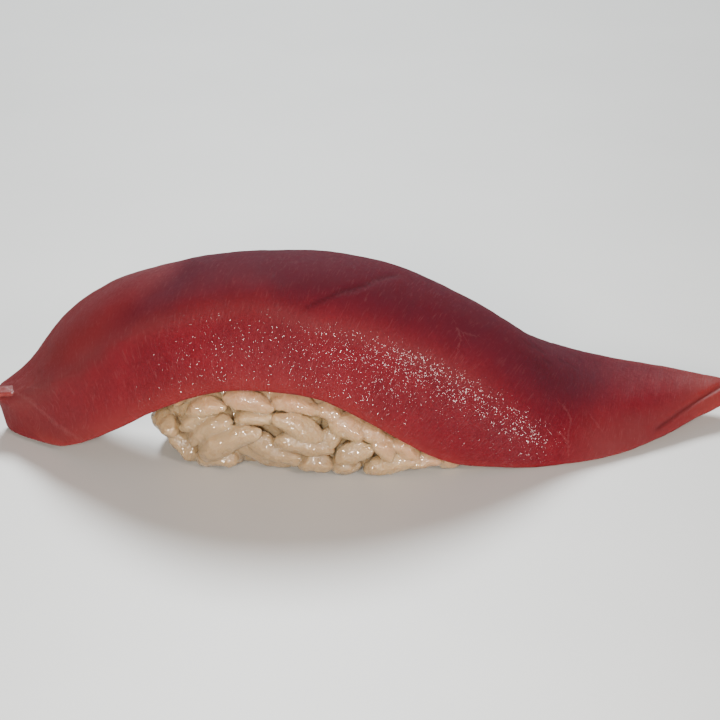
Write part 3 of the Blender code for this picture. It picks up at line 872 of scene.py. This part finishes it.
class NIGIRI_OT_sinew_tag(bpy.types.Operator):
    """Builds the thin tag of sinew at the slice's thick end"""

    bl_idname = "nigiri.sinew_tag"
    bl_label = "Sinew tag"

    def execute(self, context):
        rings = []
        for ring in range(TAG_RINGS):
            share = ring / (TAG_RINGS - 1)
            middle = TAG_ROOT.lerp(TAG_TIP, share) + TO_MIDDLE
            wide = TAG_WIDTH / 2 * (1 - TAG_NARROWS * share)
            thick = TAG_THICKNESS / 2 * (1 - TAG_THINS * share)
            corners = ((-wide, -thick), (wide, -thick), (wide, thick), (-wide, thick))
            rings.append([(middle + Vector((0, y, z))) * MM for y, z in corners])
        tag = add_object("sinew_tag", loft("sinew_tag", rings))
        data = smoothed(tag)
        points, normals = read_points(data), read_normals(data)
        write_points(data, points + normals * (ripples(points, 0.9, 6) * 0.12)[:, None])
        write_attribute(data, "along_mm", points[:, 0])
        write_attribute(data, "round_mm", points[:, 1])
        for name, value in TAG_FINISH.items():
            write_attribute(data, name, np.full(len(points), value))
        dress(tag, bpy.data.materials["raw_tuna"])
        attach(tag, "root")
        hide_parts("tuna_slice")
        return {"FINISHED"}


def superellipse(share):
    """The other half-axis share of a rounded square outline, for this share of one half-axis."""
    return max(0.0, 1 - abs(share) ** RICE_SQUARENESS) ** (1 / RICE_SQUARENESS)


def wall_point(heading, height):
    """A point on the core's side wall, and the wall's outward normal there."""
    level = superellipse((height - RICE_MIDDLE.z) / RICE_HALF.z)
    flat = Vector((math.cos(heading), math.sin(heading), 0))
    reach = sum(abs(part) ** RICE_SQUARENESS for part in flat) ** (-1 / RICE_SQUARENESS)
    offset = flat * reach * level
    offset.z = (height - RICE_MIDDLE.z) / RICE_HALF.z
    slope = [math.copysign(abs(part) ** (RICE_SQUARENESS - 1), part) for part in offset]
    normal = Vector(slope[i] / RICE_HALF[i] for i in range(3)).normalized()
    return Vector(RICE_MIDDLE[i] + offset[i] * RICE_HALF[i] for i in range(3)), normal


def front_heading(x, height):
    """The heading at which the front wall passes this X."""
    level = superellipse((height - RICE_MIDDLE.z) / RICE_HALF.z)
    share = max(-0.97, min(0.97, (x - RICE_MIDDLE.x) / (RICE_HALF.x * level)))
    return math.atan2(-superellipse(share), share)


def room_under_slice(point):
    """How far the point lies under the slice's underside, and how far across the slice."""
    across = (point.y - curve_value(ASIDE, point.x)) * 2 / curve_value(WIDTH, point.x)
    along = point.x
    for _ in range(6):
        above = slice_point(along, max(-1.0, min(1.0, across)), 0)
        along += point.x - above.x
    return above.z - point.z, abs(across)


def sticks_out(points):
    """Whether a grain would be cut in half by the slice or stand out past its edge."""
    rooms = [room_under_slice(point) for point in points]
    inside = sum(1 for room, _ in rooms if room < RICE_GAP)
    past_edge = any(room < RICE_GAP and across > 1 - EDGE_MARGIN for room, across in rooms)
    return past_edge or inside > CUT_SHARE * len(points)


def plain_grain(length, width, thickness):
    """The corners of a plain six-sided grain, which the layout is worked out with."""
    corners = []
    for band in range(5):
        turn = math.pi * band / 4
        share = math.cos(turn)
        for side in range(1 if band in (0, 4) else 6):
            heading = 2 * math.pi * side / 6
            out = math.sin(turn) / 2
            across = out * math.cos(heading) * width + GRAIN_BEND * (1 - share * share)
            corners.append(Vector((share / 2 * length, across, out * math.sin(heading) * thickness)))
    return corners


def seat_grain(heading, height, tilt, size, proud):
    """Where a grain lies on the wall as (place, turn), or nothing where the slice leaves no room."""
    point, normal = wall_point(heading, height)
    level_way = Vector((-normal.y, normal.x, 0)).normalized()
    if level_way.x < 0:
        level_way.negate()
    up_way = normal.cross(level_way)
    if up_way.z < 0:
        up_way.negate()
    long_way = level_way * math.cos(tilt) + up_way * math.sin(tilt)
    turned = Matrix((long_way, normal.cross(long_way), normal)).transposed()
    seat = point + normal * (size[2] / 2 - GRAIN_SINK * GRAIN_THICKNESS + proud)
    corners = [seat + turned @ corner for corner in plain_grain(*size)]
    lift = max(0.0, GRAIN_CLEARANCE - min(corner.z for corner in corners))
    seat.z += lift
    for corner in corners:
        corner.z += lift
    return None if sticks_out(corners) else (seat, turned)


def lay_grains(look, spacing, depth, seed, chosen=()):
    """One layer of grains: those chosen, then others thrown over the rest wherever there is room. Each is
    (place, turn, size)."""
    sizes = random.Random(seed)
    thick = look.grain_thickness / MM
    laid = []

    def lay(heading, height, tilt, length, width, proud):
        size = (length, width, thick * sizes.uniform(1 - GRAIN_WIDTH_VARIES, 1 + GRAIN_WIDTH_VARIES))
        placed = seat_grain(heading, height, tilt, size, proud)
        if placed:
            laid.append((*placed, size))

    for x, height, tilt, length, width, proud in chosen:
        lay(front_heading(x, height), height, math.radians(tilt), length, width, proud - depth)
    for _ in range(GRAIN_TRIES):
        heading, height = sizes.uniform(-math.pi, math.pi), sizes.uniform(*GRAIN_HEIGHTS)
        tilt = sizes.gauss(0, GRAIN_TILT_SPREAD)
        length = look.grain_length / MM * sizes.uniform(1 - GRAIN_VARIES, 1 + GRAIN_VARIES)
        width = look.grain_width / MM * sizes.uniform(1 - GRAIN_WIDTH_VARIES, 1 + GRAIN_WIDTH_VARIES)
        point, _ = wall_point(heading, height)
        if all((point - grain[0]).length > spacing for grain in laid):
            lay(heading, height, tilt, length, width, -depth)
    return laid


def grain_form(length, width, thickness, shapes):
    """The points of one cooked grain: plump, blunt, slightly bent, with a notch where its germ was."""
    bend = shapes.uniform(0.1, 0.5)
    notch_end = shapes.choice((-1, 1))
    blunt = shapes.uniform(2.3, 3.4)
    taper = shapes.uniform(-0.14, 0.14)
    twist = shapes.uniform(-0.6, 0.6)
    share = np.cos(np.linspace(0, math.pi, GRAIN_BANDS + 1))[1:-1]
    swell = (1 - np.abs(share) ** blunt) ** 0.5 * (1 + taper * share)
    heading = np.linspace(0, 2 * math.pi, GRAIN_SIDES, endpoint=False)
    u, a = np.meshgrid(share, heading, indexing="ij")
    turn = a + twist * u
    flank = 1 + 0.05 * np.cos(2 * turn + 0.6) + 0.035 * np.cos(3 * turn + 1.0) + 0.025 * np.cos(5 * turn)
    notch = np.exp(-((u - 0.8 * notch_end) / 0.2) ** 2) * np.exp((np.cos(turn) - 1) / 0.5)
    radius = swell[:, None] * flank * (1 - 0.3 * notch)
    y = radius * np.cos(turn) * width / 2 + bend * (1 - u * u)
    z = radius * np.sin(turn) * thickness / 2
    body = np.column_stack(((u * length / 2).ravel(), y.ravel(), z.ravel()))
    tips = np.array([(length / 2, 0, 0), (-length / 2, 0, 0)])
    points = np.vstack((body, tips))
    middle = np.column_stack((points[:, 0] * 0.75, np.zeros(len(points)), np.zeros(len(points))))
    away = points - middle
    away /= np.maximum(np.linalg.norm(away, axis=1), 0.01)[:, None]
    shift = shapes.uniform(0, 90)
    lumps = ripples(points + shift, 1.5, 8) * 0.24 + ripples(points + shift, 0.6, 9) * 0.14
    return points + away * lumps[:, None]


def grain_faces():
    """The faces over the points of grain_form."""
    faces = []
    rows, sides = GRAIN_BANDS - 1, GRAIN_SIDES
    first, last = rows * sides, rows * sides + 1
    for j in range(sides):
        k = (j + 1) % sides
        for i in range(rows - 1):
            faces.append((i * sides + j, (i + 1) * sides + j, (i + 1) * sides + k, i * sides + k))
        faces.append((first, j, k))
        faces.append((last, (rows - 1) * sides + k, (rows - 1) * sides + j))
    return faces


def apart(laid):
    """The laid grains in sets in which none comes near another."""
    sets = []
    for grain in laid:
        for group in sets:
            if all((grain[0] - other[0]).length > (grain[2][0] + other[2][0]) / 2 + GRAINS_APART
                   for other in group):
                group.append(grain)
                break
        else:
            sets.append([grain])
    return sets


def grains_object(name, laid, shapes):
    """One object of grains that stand clear of each other, with a tone for each grain."""
    points, faces, tones = [], [], []
    pattern = grain_faces()
    count = 0
    for seat, turned, size in laid:
        form = grain_form(*size, shapes)
        placed = form @ np.array(turned).T + np.array(seat + TO_MIDDLE)
        low = placed[:, 2].min()
        if low < GRAIN_CLEARANCE / 2:
            placed[:, 2] += GRAIN_CLEARANCE / 2 - low
        points.append(placed * MM)
        faces += [tuple(count + corner for corner in face) for face in pattern]
        tones.append(np.full(len(form), shapes.uniform(0.0, 1.0)))
        count += len(form)
    data = bpy.data.meshes.new(name)
    data.from_pydata(np.vstack(points).tolist(), [], faces)
    write_attribute(data, "tone", np.concatenate(tones))
    return add_object(name, data)


def combined(target, other, operation):
    """Joins the other object to the target or cuts it away, and removes it."""
    cut = target.modifiers.new("Combine", "BOOLEAN")
    cut.operation = operation
    cut.solver = "MANIFOLD"
    cut.object = other
    before = len(target.data.polygons)
    apply_modifiers(target)
    if len(target.data.polygons) in (0, before):
        raise RuntimeError(other.name + " couldn't be combined with " + target.name)
    bpy.data.objects.remove(other)


def soften_joints(data):
    """Fills the sharp joints between grains a little, as their wet film does."""
    mesh = bmesh.new()
    mesh.from_mesh(data)
    bmesh.ops.remove_doubles(mesh, verts=mesh.verts, dist=JOINT_WELD * MM)
    joints = set()
    for edge in mesh.edges:
        if len(edge.link_faces) == 2 and not edge.is_convex and edge.calc_face_angle() > JOINT_ANGLE:
            joints.update(edge.verts)
    for _ in range(JOINT_ROUNDS):
        bmesh.ops.smooth_vert(
            mesh, verts=list(joints), factor=0.5, use_axis_x=True, use_axis_y=True, use_axis_z=True)
    mesh.to_mesh(data)
    mesh.free()


def rice_core_mesh():
    """The bumpy core that the grains are pressed onto."""
    mesh = bmesh.new()
    bmesh.ops.create_icosphere(mesh, subdivisions=5, radius=1.0)
    half = [extent - CORE_SHRINK for extent in RICE_HALF]
    for vert in mesh.verts:
        reach = sum(abs(part) ** RICE_SQUARENESS for part in vert.co) ** (-1 / RICE_SQUARENESS)
        place = Vector(RICE_MIDDLE[i] + vert.co[i] * reach * half[i] for i in range(3))
        bump = CORE_BUMPS * noise.noise(place / CORE_BUMP_SIZE)
        place = RICE_MIDDLE + (place - RICE_MIDDLE) * (1 + bump)
        place.z = max(CORE_BOTTOM, place.z)
        vert.co = (place + TO_MIDDLE) * MM
    data = bpy.data.meshes.new("rice_core")
    mesh.to_mesh(data)
    mesh.free()
    write_attribute(data, "tone", np.full(len(data.vertices), 1.0))
    return data


class NIGIRI_OT_rice(bpy.types.Operator):
    """Presses the cooked grains onto a core in two layers, and fits them under the slice"""

    bl_idname = "nigiri.rice"
    bl_label = "Rice"

    def execute(self, context):
        look = context.scene.nigiri_rice
        rice = add_object("rice_grains", rice_core_mesh())
        shapes = random.Random(GRAIN_SHAPES_SEED)
        for laid in (
            lay_grains(look, INNER_SPACING, INNER_LAYER_DEPTH, INNER_SEED),
            lay_grains(look, GRAIN_SPACING, 0.0, GRAIN_SEED, FRONT_GRAINS),
        ):
            if not laid:
                raise RuntimeError("a layer has no grains")
            for group in apart(laid):
                combined(rice, grains_object("grains", group, shapes), "UNION")
        data = rice.data
        soften_joints(data)
        points = read_points(data)
        rooms = np.array([room_under_slice(Vector(point) - TO_MIDDLE)[0] for point in points])
        points[:, 2] += np.minimum(0.0, rooms - RICE_GAP)
        write_points(data, points)
        write_attribute(data, "room_mm", rooms)
        dress(rice, rice_material(look))
        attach(rice, "root")
        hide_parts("rice")
        return {"FINISHED"}


def add_area_light(name, place, size, power, colour):
    """A round soft light, turned to the lit point."""
    light = bpy.data.lights.new(name, "AREA")
    light.shape = "DISK"
    light.size = size
    light.energy = power
    light.color = colour
    made = add_object(name, light)
    made.location = place
    made.rotation_mode = "QUATERNION"
    made.rotation_quaternion = (Vector(place) - Vector(LIT_POINT)).to_track_quat("Z", "Y")


class NIGIRI_OT_studio(bpy.types.Operator):
    """Sets up the floor, the soft lights and the camera"""

    bl_idname = "nigiri.studio"
    bl_label = "Studio"

    def execute(self, context):
        look = context.scene.nigiri_studio
        mesh = bmesh.new()
        bmesh.ops.create_circle(mesh, cap_ends=True, segments=96, radius=FLOOR_RADIUS)
        data = bpy.data.meshes.new("floor")
        mesh.to_mesh(data)
        mesh.free()
        data.materials.append(floor_material(look))
        floor = add_object("floor", data)

        world = bpy.data.worlds.new("soft_surround")
        world.use_nodes = True
        background = world.node_tree.nodes["Background"]
        background.inputs["Color"].default_value = SURROUND_COLOUR
        background.inputs["Strength"].default_value = SURROUND_STRENGTH
        context.scene.world = world
        for light in LIGHTS:
            add_area_light(*light)

        camera = add_object("camera", bpy.data.cameras.new("camera"))
        camera.data.lens = look.lens
        camera.data.clip_start = 0.01
        back = Vector((0, -math.cos(look.camera_height), math.sin(look.camera_height)))
        camera.location = VIEW_TARGET * MM + back * look.camera_distance
        camera.rotation_mode = "QUATERNION"
        camera.rotation_quaternion = back.to_track_quat("Z", "Y")
        context.scene.camera = camera
        return {"FINISHED"}


OPERATORS = (NIGIRI_OT_slice, NIGIRI_OT_sinew_tag, NIGIRI_OT_rice, NIGIRI_OT_studio)
LOOKS = (("nigiri_slice", SliceLook), ("nigiri_rice", RiceLook), ("nigiri_studio", StudioLook))


class NIGIRI_PT_panel(bpy.types.Panel):
    """Lists the looks and the pieces of the nigiri"""

    bl_label = "Tuna nigiri"
    bl_idname = "NIGIRI_PT_panel"
    bl_space_type = "VIEW_3D"
    bl_region_type = "UI"
    bl_category = "Nigiri"

    def draw(self, context):
        for name, look in LOOKS:
            box = self.layout.box()
            for part in look.__annotations__:
                box.prop(getattr(context.scene, name), part)
        for operator in OPERATORS:
            self.layout.operator(operator.bl_idname)


CLASSES = (SliceLook, RiceLook, StudioLook) + OPERATORS + (NIGIRI_PT_panel,)


def register():
    """Adds the classes, and the looks to every scene."""
    for cls in CLASSES:
        bpy.utils.register_class(cls)
    for name, look in LOOKS:
        setattr(bpy.types.Scene, name, bpy.props.PointerProperty(type=look))


def unregister():
    """Takes away what register added."""
    for name, _ in LOOKS:
        delattr(bpy.types.Scene, name)
    for cls in reversed(CLASSES):
        bpy.utils.unregister_class(cls)


def main():
    """Builds the piece and its studio."""
    register()
    bpy.ops.nigiri.slice()
    bpy.ops.nigiri.sinew_tag()
    bpy.ops.nigiri.rice()
    bpy.ops.nigiri.studio()


if __name__ == "__main__":
    main()
